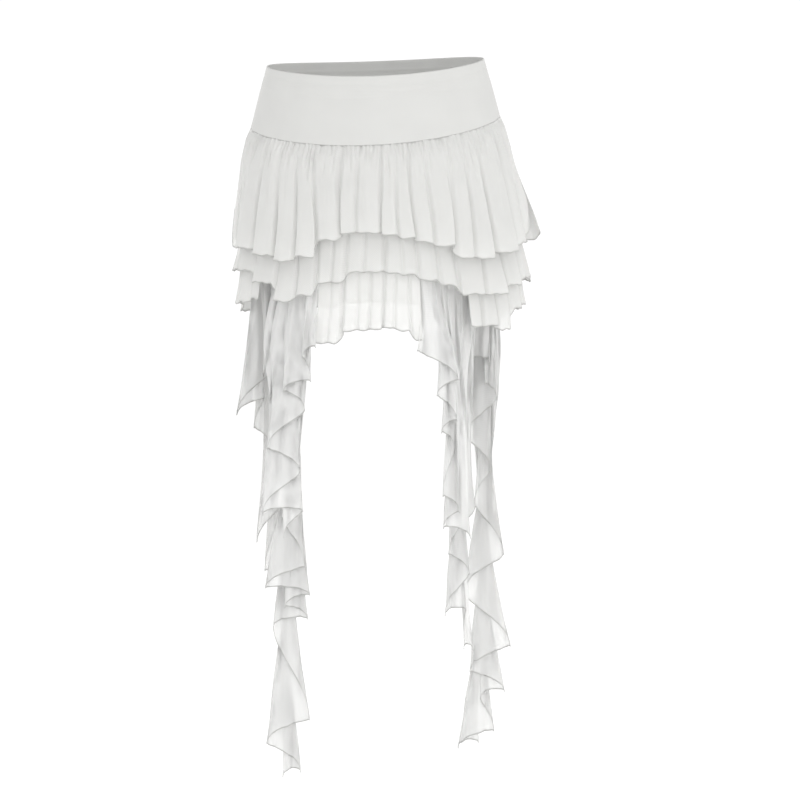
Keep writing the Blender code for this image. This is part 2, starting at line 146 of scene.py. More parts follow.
TIER_1_BACK = table(FOLD, (
    (101.0, 2.0, 6.0, 1.0, -1.2, -232.0),
    (115.0, 1.0, 5.0, 0.8, 0.0, -245.0),
    (127.0, 1.0, 4.6, 1.0, 1.0, -238.0),
    (138.0, 0.0, 3.8, 0.6, 0.0, -230.0),
    (147.0, 0.5, 4.4, 1.0, -1.0, -222.0),
    (158.0, 0.0, 3.6, 0.7, 0.0, -219.0),
    (166.0, 0.0, 4.2, 1.0, 1.0, -214.0),
    (177.0, 0.0, 3.6, 0.6, 0.0, -216.0),
    (187.0, 0.0, 4.4, 1.0, -1.1, -221.0),
    (199.0, -0.5, 3.6, 0.7, 0.0, -228.0),
    (210.0, 0.0, 4.6, 1.0, 1.1, -239.0),
    (222.0, -1.0, 3.8, 0.6, 0.0, -247.0),
    (234.0, -1.0, 5.2, 1.0, -1.0, -240.0),
    (249.0, -2.0, 5.6, 0.8, 0.0, -229.0),
    (261.0, -2.0, 5.0, 0.8, 0.0, -232.0),
))
TIER_2_FRONT = table(FOLD, (
    (-80.0, 2.0, 6.0, 0.8, 0.0, -268.0),
    (-64.0, 2.0, 5.0, 0.9, 0.0, -282.0),
    (-47.0, 1.0, 5.0, 1.0, -1.0, -305.0),
    (-36.0, 0.0, 3.2, 0.7, 0.0, -297.0),
    (-27.0, -1.0, 4.6, 1.0, 1.2, -281.0),
    (-20.0, 0.0, 3.0, 0.6, 0.0, -280.0),
    (-14.0, 0.0, 4.2, 1.0, -1.0, -267.0),
    (-6.0, 0.0, 3.4, 0.8, 0.0, -266.0),
    (2.2, 0.0, 4.0, 1.0, -0.8, -268.0),
    (9.0, 0.0, 3.2, 0.7, 0.0, -270.0),
    (15.7, 0.0, 4.0, 1.0, 1.0, -277.0),
    (25.0, 0.0, 4.0, 0.9, 0.0, -284.0),
    (33.0, 1.0, 4.6, 1.0, -1.0, -296.0),
    (47.0, 1.0, 4.4, 0.9, 0.0, -297.0),
    (61.0, 0.0, 4.6, 1.0, 1.0, -286.0),
    (76.0, -1.0, 6.0, 0.8, 0.0, -278.0),
))
TIER_2_BACK = table(FOLD, (
    (104.0, 1.0, 5.4, 1.0, 0.0, -284.0),
    (119.0, 1.0, 4.8, 0.8, 1.0, -294.0),
    (132.0, 0.0, 4.2, 1.0, 0.0, -283.0),
    (145.0, 0.0, 4.0, 0.7, -0.9, -276.0),
    (157.0, 0.0, 4.2, 1.0, 0.0, -268.0),
    (170.0, 0.0, 3.8, 0.8, 0.0, -266.0),
    (183.0, 0.0, 4.2, 1.0, 0.9, -270.0),
    (196.0, 0.0, 3.8, 0.7, 0.0, -275.0),
    (209.0, 0.0, 4.4, 1.0, -1.0, -286.0),
    (223.0, -1.0, 4.4, 0.8, 0.0, -293.0),
    (238.0, -1.0, 5.0, 1.0, 0.0, -281.0),
    (255.0, -1.0, 5.6, 0.8, 0.0, -270.0),
))
TIER_3_FRONT = table(FOLD, (
    (-21.5, 0.0, 3.2, 0.6, 0.0, -358.0),
    (-16.0, 0.0, 4.4, 1.0, -0.6, -342.0),
    (-9.5, 0.0, 3.2, 0.7, 0.0, -341.0),
    (-4.4, 0.0, 3.4, 1.0, 0.0, -339.0),
    (1.6, 0.0, 3.4, 1.0, 0.8, -338.0),
    (6.6, 0.0, 3.2, 0.8, 0.0, -341.0),
    (13.2, 0.0, 3.4, 1.0, 0.0, -354.0),
))
TIER_3_BACK = table(FOLD, (
    (47.0, 0.0, 4.4, 0.9, 0.0, -338.0),
    (57.0, 0.0, 5.0, 1.0, 0.9, -344.0),
    (69.0, 0.0, 5.0, 0.8, 0.0, -318.0),
    (82.0, 0.0, 5.6, 1.0, 0.0, -314.0),
    (97.0, 0.0, 5.4, 0.8, 0.0, -322.0),
    (113.0, 0.0, 5.0, 1.0, -0.5, -333.0),
    (128.0, 0.0, 4.6, 0.8, 0.0, -339.0),
    (142.0, 0.0, 4.4, 1.0, 0.0, -330.0),
    (156.0, 0.0, 4.2, 0.8, 0.9, -321.0),
    (170.0, 0.0, 4.2, 1.0, 0.0, -318.0),
    (184.0, 0.0, 4.2, 0.8, 0.0, -319.0),
    (198.0, 0.0, 4.4, 1.0, -0.9, -325.0),
    (213.0, 0.0, 4.6, 0.8, 0.0, -334.0),
    (228.0, 0.0, 5.0, 1.0, 0.0, -337.0),
    (244.0, 0.0, 5.2, 0.8, 0.0, -325.0),
    (260.0, 0.0, 5.6, 1.0, 0.0, -312.0),
    (277.0, 0.0, 5.6, 0.8, 0.0, -309.0),
    (290.0, 0.0, 4.6, 0.8, 0.0, -304.0),
))
# start, end: angles; layers: counted from the yoke; top: distance under the seam.
TIERS = named_rows("piece folds start end rings layers top columns rows seed", (
    ("tier1_front", TIER_1_FRONT, -90.0, 90.0, TIER_1_RINGS, 0, -3.0, 480, 56, 11),
    ("tier1_back", TIER_1_BACK, 90.0, 270.0, TIER_1_RINGS, 0, -3.0, 480, 56, 12),
    ("tier2_front", TIER_2_FRONT, -90.0, 90.0, TIER_2_RINGS, 1, -8.0, 400, 46, 21),
    ("tier2_back", TIER_2_BACK, 90.0, 270.0, TIER_2_RINGS, 1, -8.0, 400, 46, 22),
    ("tier3_front", TIER_3_FRONT, -26.4, 17.3, TIER_3_RINGS, 2, -8.0, 140, 46, 31),
    ("tier3_back", TIER_3_BACK, 40.0, 298.0, TIER_3_RINGS, 2, -8.0, 480, 42, 32),
))

# Turned edges of the cascades' hanging folds, from front to back: x and height of each tip.
TURN = "side hem"
LEFT_FRONT = table(TURN, (
    (-77.0, -363.0),
    (-94.0, -375.0),
    (-82.0, -407.0),
    (-118.0, -420.0),
    (-90.0, -444.0),
    (-138.0, -494.0),
    (-96.0, -524.0),
    (-146.0, -581.0),
    (-93.0, -577.0),
    (-118.0, -612.0),
))
LEFT_LONG = table(TURN, (
    (-121.0, -590.0),
    (-92.0, -655.0),
    (-144.0, -685.0),
    (-85.0, -694.0),
    (-118.0, -710.0),
    (-88.0, -727.0),
    (-134.0, -737.0),
    (-89.0, -862.0),
    (-146.0, -894.0),
    (-101.0, -933.0),
    (-125.0, -941.0),
))
LEFT_SIDE = table(TURN, (
    (-119.0, -388.0),
    (-148.0, -409.0),
    (-130.0, -391.0),
    (-184.0, -461.0),
    (-150.0, -441.0),
    (-163.0, -480.0),
    (-142.0, -507.0),
    (-158.0, -635.0),
    (-131.0, -589.0),
    (-148.0, -676.0),
    (-126.0, -694.0),
))
RIGHT_FRONT = table(TURN, (
    (52.0, -367.0),
    (113.0, -405.0),
    (80.0, -425.0),
    (106.0, -458.0),
    (86.0, -473.0),
    (102.0, -494.0),
    (88.0, -556.0),
    (110.0, -578.0),
    (89.0, -599.0),
    (124.0, -612.0),
))
RIGHT_INNER = table(TURN, (
    (132.0, -577.0),
    (96.0, -640.0),
    (123.0, -667.0),
    (90.0, -723.0),
    (118.0, -716.0),
    (115.0, -768.0),
    (128.0, -771.0),
))
RIGHT_SIDE = table(TURN, (
    (127.0, -386.0),
    (152.0, -389.0),
    (145.0, -418.0),
    (160.0, -438.0),
    (121.0, -490.0),
    (154.0, -535.0),
    (133.0, -577.0),
    (172.0, -649.0),
    (119.0, -700.0),
    (179.0, -774.0),
    (125.0, -810.0),
    (172.0, -838.0),
    (140.0, -848.0),
    (158.0, -894.0),
    (110.0, -919.0),
    (138.0, -912.0),
))
# start, end: angles; front, back: y of the column's first and last fold; hugs: whether it hugs
# the tiers; layers: counted from the yoke; gather: where the folds have come together; upper,
# lower: share of the folds' width; reach: length over which a tip spreads; first_fan, last_fan:
# how far to the side the folds at that end stand out under the tiers.
CASCADES = named_rows("piece turns start end front back hugs layers rows "
                      "gather upper lower reach first_fan last_fan", (
    ("left_cascade_front", LEFT_FRONT, -27.0, -44.0, -142.0, -92.0, True, 2,
     90, 280.0, 0.7, 0.6, 170.0, 0.0, -12.0),
    ("left_cascade_long", LEFT_LONG, -60.0, -77.0, -60.0, -22.0, False, 3,
     110, 340.0, 0.9, 0.24, 160.0, 11.0, 0.0),
    ("left_cascade_side", LEFT_SIDE, -79.5, -122.0, -14.0, 64.0, False, 3,
     90, 280.0, 0.4, 0.36, 160.0, 0.0, 0.0),
    ("right_cascade_front", RIGHT_FRONT, 17.5, 43.0, -142.0, -92.0, True, 3,
     90, 380.0, 0.7, 0.6, 120.0, 0.0, 12.0),
    ("right_cascade_inner", RIGHT_INNER, 57.0, 69.5, -50.0, -26.0, False, 3,
     100, 340.0, 0.9, 0.32, 150.0, -12.0, 0.0),
    ("right_cascade_side", RIGHT_SIDE, 72.0, 122.0, -28.0, 64.0, False, 3,
     110, 300.0, 0.7, 0.2, 140.0, -8.0, 0.0),
))
PASS_COLUMNS = 16
STACK_RINGS = table("drop spacing", (
    (0.0, 0.0), (40.0, 0.4), (70.0, 1.6), (100.0, 2.9), (140.0, 3.4),
))
TURN_INSET = 0.16
TURN_ROUNDING = 0.9
SPREAD_HIGH = -360.0
SPREAD_LOW = -560.0
GATHER_START = 60.0
COLUMN_START = -200.0
COLUMN_FULL = -560.0
TUCK_REACH = 1.5
TUCK_FROM = 5.0
TUCK_FULL = 10.0
TUCK_BACK = 0.33
ROW_EASE = 1.15
FOLD_FILL = 0.8
FOLD_CHANGE_FROM = 30.0
FOLD_CHANGE_LENGTH = 80.0
SLANT_FADE = 8.0
CREASE_FADE = 3.0
CREASE_SPACING = 9.5
CREASE_TOP = 6.0
CREASE_FOOT = 150.0
CREASE_FOOT_STEP = 50.0
HEM_WAVE_RATE = 0.83
HEM_WAVE_CHANGE = 0.31
WANDER_DROP = 31.0
WANDER_ANGLE = 11.0

# Rises and flares of the tiers at the side seams, which the solids don't have.
SIDE_SEAMS = (90.0, -90.0, 270.0)
RISE_REACH = 11.0
FLAP_ANGLE = 92.0
FLAP_REACH = 16.0
FLAP_FROM = 40.0
FLAP_LENGTH = 120.0
CORNER_REACH = 14.0
HIP_REACH = 26.0
FLARE_FROM = 60.0
FLARE_LENGTH = 130.0

# Cascades under the tiers: fans, upright flutes and wandering edges.
HEM_ARCH = 0.7
FAN_DROP = 200.0
FAN_REACH = 160.0
RIPPLE_START = -235.0
RIPPLE_FADE = 90.0
RIPPLE_WIDEN = 0.5
RIPPLE_WIDEN_START = -300.0
RIPPLE_WIDEN_LENGTH = 400.0
RIPPLES = named_rows("share pitch swing height phase", (
    (1.0, 1.0, 1.1, 97.0, 0.0),
    (0.6, 0.57, 1.4, 61.0, 1.0),
    (0.6, 0.38, 2.2, 83.0, 2.0),
))
BEND_HEIGHT = 53.0
BEND_DEPTH = 13.0

# Yoke: net, stitched channel, the two soft creases under it and the pull of the seam.
YOKE_COLUMNS = 200
YOKE_ROWS = 44
CHANNEL_HALF_WIDTH = 2.4
YOKE_CREASES = named_rows("depth drop sway turn half_width", (
    (0.45, 19.0, 2.0, 9.0, 4.0),
    (0.30, 27.0, -2.5, 12.0, 5.0),
))
PULL_DEPTH = 0.4
PULL_SHARE = 0.2
TURNED_DEPTH = 0.7
TURNED_SHARE = 0.025

# Metres, like the values that a material takes.
# Width of the painted shade line along the yoke's seam.
SEAM_SHADE_WIDTH = 0.0014
WALE_PITCH = 0.0009
LIGHT_AIM = (0.0, 0.0, -0.35)
LIGHTS = (
    # name, place, size, power
    ("key", (2.2, -2.6, -0.1), 2.2, 12.0),
    ("fill", (0.2, -3.4, -0.7), 2.4, 26.0),
    ("back", (-0.8, 2.8, 0.9), 2.2, 14.0),
)

# Soft creases of the upper front tier, listed one by one. angle: at the creases' middle; lean: how
# far the foot lies to the side; depth: inwards, or outwards if negative; top, foot: distances
# under the seam.
CREASE = "angle lean width depth top foot"
TIER_1_FRONT_CREASES = table(CREASE, (
    (-84.0, -1.5, 2.4, 1.5, 4.0, 96.0),
    (-71.0, -1.0, 2.6, 1.6, 2.0, 120.0),
    (-66.5, 1.2, 2.0, -1.3, 10.0, 88.0),
    (-53.0, 0.6, 2.2, 1.4, 2.0, 66.0),
    (-49.5, -0.8, 1.8, -1.2, 22.0, 128.0),
    (-41.0, 0.8, 2.0, 1.5, 3.0, 104.0),
    (-31.0, 1.6, 2.0, 1.3, 2.0, 58.0),
    (-20.5, 0.4, 1.8, -1.2, 30.0, 122.0),
    (-12.0, -0.5, 1.5, 1.1, 2.0, 72.0),
    (-4.5, 0.5, 1.9, -1.3, 34.0, 118.0),
    (-2.0, 0.2, 1.5, 1.0, 2.0, 44.0),
    (4.8, -0.6, 1.6, 1.2, 4.0, 92.0),
    (11.6, 0.4, 1.6, -1.0, 26.0, 116.0),
    (18.0, 0.6, 1.7, 1.2, 2.0, 82.0),
    (26.5, 1.0, 2.2, 1.4, 2.0, 54.0),
    (28.0, 1.4, 2.2, -1.1, 48.0, 132.0),
    (35.5, 1.2, 2.0, 1.3, 2.0, 76.0),
    (45.5, 1.0, 2.4, 1.5, 3.0, 112.0),
    (55.5, -1.2, 2.2, 1.6, 2.0, 70.0),
    (60.0, -1.6, 2.6, -1.4, 26.0, 126.0),
    (63.5, -2.0, 2.0, 1.3, 2.0, 90.0),
    (74.5, -1.6, 2.6, 1.6, 3.0, 106.0),
    (85.0, -1.0, 2.2, 1.4, 4.0, 80.0),
))


def edge_height(edge, angle):
    """Height of the waist edge or of the seam at an angle round the body."""
    front = np.cos(np.radians(angle))
    side = np.sin(np.radians(angle))
    return edge["middle"] + edge["tilt"] * side - edge["dip"] * front - edge["bow"] * front ** 2


def on_oval(half_width, half_depth, angle):
    """Points of an oval round the body."""
    turn = np.radians(angle)
    return half_width * np.sin(turn), -half_depth * np.cos(turn)


def smooth_step(value):
    """Even rise from 0 to 1 with level ends."""
    value = np.clip(value, 0.0, 1.0)
    return value * value * (3.0 - 2.0 * value)


def blend(first, second, share):
    """Value at a share of the way from the first to the second."""
    return first + (second - first) * share


def hump(value):
    """Soft hump of height 1 at 0 that ends at -1 and 1."""
    return np.where(np.abs(value) < 1.0, 0.5 + 0.5 * np.cos(np.pi * np.clip(value, -1, 1)), 0.0)


def ring_value(rings, drop, field):
    """One named column of a ring table at distances under the seam."""
    return np.interp(drop, rings["drop"], rings[field])


def sway_at(drop):
    """How far the skirt hangs to the side at distances under the seam."""
    return SWAY * smooth_step(drop / SWAY_DROP)


def seam_inset_under(layers):
    """How far inside the seam line a piece lies that is so many layers from the yoke."""
    return (YOKE_WALL - CLOTH_WALL) / 2 + layers * (CLOTH_WALL + NEST_GAP) if layers else 0.0


def crease_depth(creases, angle, drop):
    """Depth of a table's soft creases at points of a tier."""
    total = np.zeros_like(angle)
    for at, lean, width, depth, top, foot in zip(*creases.values()):
        share = (drop - top) / (foot - top)
        near = (angle - at - lean * (share - 0.5)) / width
        fade = smooth_step(share / 0.2) * smooth_step((1.0 - share) / 0.5)
        total += depth * hump(near) * fade
    return total


def seam_gathers(start, end, spacing, seed):
    """Crease table of the small gathers under the seam, uneven in place, depth and length."""
    count = int((end - start) / spacing)
    draw = np.random.default_rng(seed)
    even = start + (np.arange(count) + 0.5) * (end - start) / count
    angle = even + spacing * draw.uniform(-0.32, 0.32, count)
    return dict(
        angle=angle,
        lean=draw.uniform(-1.0, 1.0, count),
        width=spacing * draw.uniform(0.42, 0.66, count),
        depth=draw.uniform(1.3, 3.0, count),
        top=np.full(count, -5.0),
        foot=14.0 + 52.0 * draw.uniform(0.0, 1.0, count) ** 2.2,
    )


def hanging_creases(start, end, spacing, top, foot, seed):
    """Crease table of soft folds that run down a tier, uneven in place, depth and length."""
    count = int((end - start) / spacing)
    draw = np.random.default_rng(seed)
    even = start + (np.arange(count) + 0.5) * (end - start) / count
    head = top + draw.uniform(0.0, 0.45, count) * (foot - top)
    return dict(
        angle=even + spacing * draw.uniform(-0.35, 0.35, count),
        lean=draw.uniform(-1.4, 1.4, count),
        width=spacing * draw.uniform(0.30, 0.50, count),
        depth=draw.choice((-0.9, 1.1), count) * draw.uniform(0.5, 1.0, count),
        top=head,
        foot=head + draw.uniform(0.5, 1.1, count) * (foot - top),
    )


def flare_out(amount, away, reach, drop, start, length):
    """Flare round a place, so many degrees away, that grows from start down over a length."""
    return amount / MM * hump(away / reach) * smooth_step((drop - start) / length)


def tier_place(tier, settings, cloth):
    """Function that lays a tier's net on its form."""
    folds = tier["folds"]
    rings = tier["rings"]
    start = tier["start"]
    end = tier["end"]
    layers = tier["layers"]
    rows = tier["rows"]
    seed = tier["seed"]
    upper_front = tier["piece"] == "tier1_front"
    inset_at_seam = seam_inset_under(layers)
    gathers = seam_gathers(start, end, settings.gather_spacing, seed)
    foot = CREASE_FOOT + CREASE_FOOT_STEP * layers
    if upper_front:
        creases = TIER_1_FRONT_CREASES
    else:
        creases = hanging_creases(start, end, CREASE_SPACING, CREASE_TOP, foot, seed + 100)
    half = folds["width"] / 2
    # The side seam at which this piece's lower corner stands out over the other piece's.
    corner = -90.0 if upper_front else 90.0
    # Share of its depth that each fold has under the seam and at the hem.
    draw = np.random.default_rng(seed + 200)
    at_seam = draw.uniform(0.3, 1.0, len(half))
    at_hem = draw.uniform(0.5, 1.0, len(half))

    def place(along, down):
        angle = blend(start, end, along)
        hem = np.full_like(angle, folds["hem"][0])
        for k, at in enumerate(folds["angle"][1:], 1):
            rise = folds["hem"][k] - folds["hem"][k - 1]
            hem += rise * smooth_step((angle - at) / folds["width"][k] + 0.5)
        wave = np.sin(angle * HEM_WAVE_RATE) * np.cos(angle * HEM_WAVE_CHANGE)
        hem += settings.hem_wave / MM * wave
        # Degrees from the nearest side seam and from the nearer end of the piece.
        from_side = np.min([np.abs(angle - seam) for seam in SIDE_SEAMS], axis=0)
        from_end = np.minimum(angle - start, end - angle)
        if layers == 0:
            rise = settings.side_rise if upper_front else settings.back_rise
            hem += rise / MM * smooth_step((RISE_REACH - from_side) / RISE_REACH)
        hem_drop = edge_height(SEAM_EDGE, angle) - hem
        row = np.round(down * rows)
        band = cloth.hem_width / MM
        share = np.minimum(row / (rows - 1), 1.0) ** ROW_EASE
        drop = np.where(row == rows, hem_drop, blend(tier["top"], hem_drop - band, share))
        # The folds wander a little on their way down.
        swing = 2.0 * np.sin(angle / WANDER_ANGLE + seed)
        wandered = angle + settings.wander * np.sin(drop / WANDER_DROP + swing)
        inset = np.zeros_like(angle)
        tuck = np.zeros_like(angle)
        for k, at in enumerate(folds["angle"]):
            across = (wandered - at) / half[k]
            changed = smooth_step((drop - FOLD_CHANGE_FROM) / FOLD_CHANGE_LENGTH)
            strength = blend(at_seam[k], at_hem[k], changed)
            inset += strength * settings.groove * folds["depth"][k] * hump(across / FOLD_FILL)
            lap = folds["tuck"][k]
            tuck += max(lap, 0.0) * hump(across + 1) + min(lap, 0.0) * hump(across - 1)
            tuck -= TUCK_BACK * lap * hump(across)
        depth = ring_value(rings, drop, "depth")
        tucked = smooth_step((depth - TUCK_FROM) / (TUCK_FULL - TUCK_FROM))
        slant = np.interp(angle, folds["angle"], folds["slant"])
        slant *= smooth_step(from_end / SLANT_FADE)
        here = angle + slant * (1.0 - np.maximum(drop, 0.0) / hem_drop)
        here += TUCK_REACH * tuck * tucked
        lobe = np.interp(angle, folds["angle"], np.arange(len(folds["angle"])))
        crown = np.sin(np.pi * (lobe % 1.0)) ** 2 * depth * settings.lobe_crown
        clear = smooth_step(from_end / CREASE_FADE)
        soft = crease_depth(gathers, here, drop) * clear
        soft += settings.crease_depth * crease_depth(creases, here, drop) * clear
        out = ring_value(rings, drop, "flare") + depth * (1.0 - inset) + crown - soft
        if layers == 0:
            out += flare_out(settings.flap_flare, angle - FLAP_ANGLE, FLAP_REACH,
                             drop, FLAP_FROM, FLAP_LENGTH)
            out += flare_out(settings.corner_flare, angle - corner, CORNER_REACH,
                             drop, FLARE_FROM, FLARE_LENGTH)
        else:
            out += flare_out(settings.side_flare, from_side, HIP_REACH,
                             drop, FLARE_FROM, FLARE_LENGTH)
        out -= inset_at_seam
        x, y = on_oval(SEAM_HALF_WIDTH + out, SEAM_HALF_DEPTH + out, here)
        x += sway_at(drop)
        z = edge_height(SEAM_EDGE, here) - drop
        return np.stack((x, y, z), axis=1) * MM, (hem_drop - drop) * MM

    return place


def middle_line(turns):
    """Straight line nearest to the middles of a cascade's folds: x at a height."""
    middles = (turns["side"][1:] + turns["side"][:-1]) / 2
    heights = (turns["hem"][1:] + turns["hem"][:-1]) / 2
    slope, start = np.polyfit(heights, middles, 1)
    return lambda height: start + slope * height


def cascade_place(cascade, settings, cloth):
    """Function that lays a cascade's net on its form."""
    turns = cascade["turns"]
    start = cascade["start"]
    end = cascade["end"]
    rows = cascade["rows"]
    gather_length = cascade["gather"] - GATHER_START
    inset_at_seam = seam_inset_under(cascade["layers"])
    count = len(turns["hem"]) - 1
    middle = middle_line(turns)

    def place(along, down):
        spot = along * count
        index = np.minimum(spot.astype(int), count - 1)
        share = spot - index
        across = np.clip((share - TURN_INSET) / (1.0 - 2 * TURN_INSET), 0.0, 1.0)
        rounded = (1.0 - np.cos(np.pi * across)) / 2
        side = blend(turns["side"][index], turns["side"][index + 1], rounded)
        hem = blend(turns["hem"][index], turns["hem"][index + 1], across)
        hem += settings.hem_rise / MM * np.sin(np.pi * across) ** HEM_ARCH
        seam = edge_height(SEAM_EDGE, blend(start, end, along))
        row = np.round(down * rows)
        band = cloth.hem_width / MM
        run = np.minimum(row / (rows - 1), 1.0)
        drop = np.where(row == rows, seam - hem, blend(-SEWN_BAND, seam - hem - band, run))
        height = seam - drop
        opening = TURN_ROUNDING * smooth_step(drop / GATHER_START) / (2 * np.pi)
        stacked = spot + opening * np.sin(2 * np.pi * spot)
        angle = blend(start, end, stacked / count)
        out = ring_value(CASCADE_RINGS, drop, "flare") - inset_at_seam
        half_width = SEAM_HALF_WIDTH + out
        half_depth = SEAM_HALF_DEPTH + out
        arc_x, arc_y = on_oval(half_width, half_depth, angle)
        gathered = smooth_step((drop - GATHER_START) / gather_length)
        above = height - hem
        flare = 1.0 - np.clip(above / cascade["reach"], 0.0, 1.0)
        low = smooth_step((SPREAD_HIGH - height) / (SPREAD_HIGH - SPREAD_LOW))
        spread = blend(blend(cascade["upper"], cascade["lower"], low), 1.0, flare) * gathered
        x = blend(arc_x + sway_at(drop), middle(hem), gathered)
        x += (side - middle(hem)) * spread
        fan = blend(cascade["first_fan"], cascade["last_fan"], stacked / count)
        x += fan * hump((drop - FAN_DROP) / FAN_REACH)
        if cascade["hugs"]:
            arc_y = -half_depth * np.sqrt(np.maximum(0.0, 1.0 - (x / half_width) ** 2))
            arc_y += ring_value(STACK_RINGS, drop, "spacing") * stacked
        deep = smooth_step((COLUMN_START - height) / (COLUMN_START - COLUMN_FULL))
        y = blend(arc_y, blend(cascade["front"], cascade["back"], stacked / count), deep)
        # Each tip comes forward like the mouth of a flute.
        tip = (1.0 - smooth_step(above / settings.flute_height * MM)) ** 2
        y -= settings.flute_depth / MM * tip * np.cos(np.pi * spot) ** 2
        # Upright flutes that all the layers of a column share.
        free = smooth_step((RIPPLE_START - height) / RIPPLE_FADE)
        beside = x - middle(height)
        wider = smooth_step((RIPPLE_WIDEN_START - height) / RIPPLE_WIDEN_LENGTH)
        pitch = settings.ripple_pitch / MM * (1.0 + RIPPLE_WIDEN * wider)
        wave = np.zeros_like(x)
        for ripple in RIPPLES:
            swing = ripple["swing"] * np.sin(height / ripple["height"] + ripple["phase"])
            turn = 2 * np.pi * beside / (ripple["pitch"] * pitch) + swing
            wave += ripple["share"] * np.sin(turn)
        y += settings.ripple / MM * wave * free
        x += settings.bend / MM * np.sin(height / BEND_HEIGHT + y / BEND_DEPTH + start) * free
        return np.stack((x, y, height), axis=1) * MM, above * MM

    return place


def yoke_place(start, end, settings):
    """Function that lays half of the yoke's net on its form."""

    def place(along, down):
        angle = blend(start, end, along)
        bulge = YOKE_BULGE * np.sin(np.pi * down)
        top = edge_height(WAIST_EDGE, angle)
        seam = edge_height(SEAM_EDGE, angle)
        height = blend(top, seam, down)
        below = top - height
        # A shallow stitched channel under the turned edge, and the soft creases beside it.
        channel = hump((below - settings.channel_drop / MM) / CHANNEL_HALF_WIDTH)
        channel = settings.channel_depth / MM * channel
        upper, lower = (
            crease["depth"] * hump((below - crease["drop"] - crease["sway"] * np.sin(
                angle / crease["turn"])) / crease["half_width"])
            for crease in YOKE_CREASES)
        crease = upper * (0.5 + 0.5 * np.sin(angle / 14.0 + 0.6)) + lower
        pull = PULL_DEPTH * np.sin(angle / 2.1 + 1.3 * np.sin(angle / 7.0))
        pull *= smooth_step((down - 1.0 + PULL_SHARE) / PULL_SHARE)
        turned = TURNED_DEPTH * smooth_step((down - 1.0 + TURNED_SHARE) / TURNED_SHARE)
        out = bulge - channel - crease + pull - turned
        half_width = blend(WAIST_HALF_WIDTH, SEAM_HALF_WIDTH, down) + out
        half_depth = blend(WAIST_HALF_DEPTH, SEAM_HALF_DEPTH, down) + out
        x, y = on_oval(half_width, half_depth, angle)
        return np.stack((x, y, height), axis=1) * MM, (height - seam) * MM

    return place


def linear(hex_code):
    """Linear colour of an sRGB hex value."""
    parts = [int(hex_code[k:k + 2], 16) / 255 for k in (0, 2, 4)]
    return [c / 12.92 if c <= 0.04045 else ((c + 0.055) / 1.055) ** 2.4 for c in parts]


def colour_property(name, description, hex_code):
    """Colour that a user can change, given as an sRGB hex value."""
    return bpy.props.FloatVectorProperty(name=name, description=description, subtype="COLOR",
                                         size=3, min=0.0, max=1.0, default=linear(hex_code))


def add_node(tree, kind, settings=None, links=None):
    """Add a node, set its values and sockets, and link outputs to its inputs."""
    node = tree.nodes.new(kind)
    for key, value in (settings or {}).items():
        if isinstance(key, str) and hasattr(node, key):
            setattr(node, key, value)
        else:
            node.inputs[key].default_value = value
    for key, socket in (links or {}).items():
        tree.links.new(socket, node.inputs[key])
    return node


def matt_cloth(name, roughness, sheen):
    """Material of matt cloth, with its tree, its shader and its place on the flat cloth."""
    material = bpy.data.materials.new(name)
    material.use_nodes = True
    tree = material.node_tree
    shader = tree.nodes["Principled BSDF"]
    shader.inputs["Roughness"].default_value = roughness
    shader.inputs["Specular IOR Level"].default_value = 0.25
    shader.inputs["Sheen Weight"].default_value = sheen
    shader.inputs["Sheen Roughness"].default_value = 0.5
    place = add_node(tree, "ShaderNodeUVMap", {"uv_map": "cloth"})
    parts = add_node(tree, "ShaderNodeSeparateXYZ", links={0: place.outputs["UV"]})
    return material, tree, shader, place, parts


def below_line(tree, parts, height):
    """Mask of the cloth nearer to its lower edge than a height."""
    return add_node(tree, "ShaderNodeMath", {"operation": "LESS_THAN", 1: height},
                    {0: parts.outputs["Y"]})


def cloudy_colour(tree, shader, place, tint, line_shade, line, scale, darkest):
    """Tint that varies softly over the cloth, with a painted shade colour inside a line."""
    cloud = add_node(tree, "ShaderNodeTexNoise", {"Scale": scale, "Detail": 3.0},
                     {"Vector": place.outputs["UV"]})
    tone = add_node(tree, "ShaderNodeMapRange",
                    {"From Min": 0.3, "From Max": 0.7, "To Min": darkest, "To Max": 1.0},
                    {"Value": cloud.outputs["Fac"]})
    tinted = add_node(tree, "ShaderNodeVectorMath", {"operation": "SCALE", 0: tint},
                      {"Scale": tone.outputs[0]})
    colour = add_node(tree, "ShaderNodeMix", {"data_type": "RGBA"}, {"Factor": line.outputs[0]})
    # The line takes the painted shade colour.
    colour.inputs[7].default_value = (*line_shade, 1.0)
    tree.links.new(tinted.outputs[0], colour.inputs[6])
    tree.links.new(colour.outputs[2], shader.inputs["Base Color"])


def waves(tree, socket, pitch):
    """Even waves of a pitch in metres along a socket's value."""
    turned = add_node(tree, "ShaderNodeMath",
                      {"operation": "MULTIPLY", 1: 2 * math.pi / pitch}, {0: socket})
    return add_node(tree, "ShaderNodeMath", {"operation": "SINE"}, {0: turned.outputs[0]})


def raise_threads(tree, shader, threads, strength):
    """Small bumps where the threads stand up."""
    bump = add_node(tree, "ShaderNodeBump", {"Strength": strength, "Distance": 0.0002},
                    {"Height": threads.outputs[0]})
    tree.links.new(bump.outputs[0], shader.inputs["Normal"])


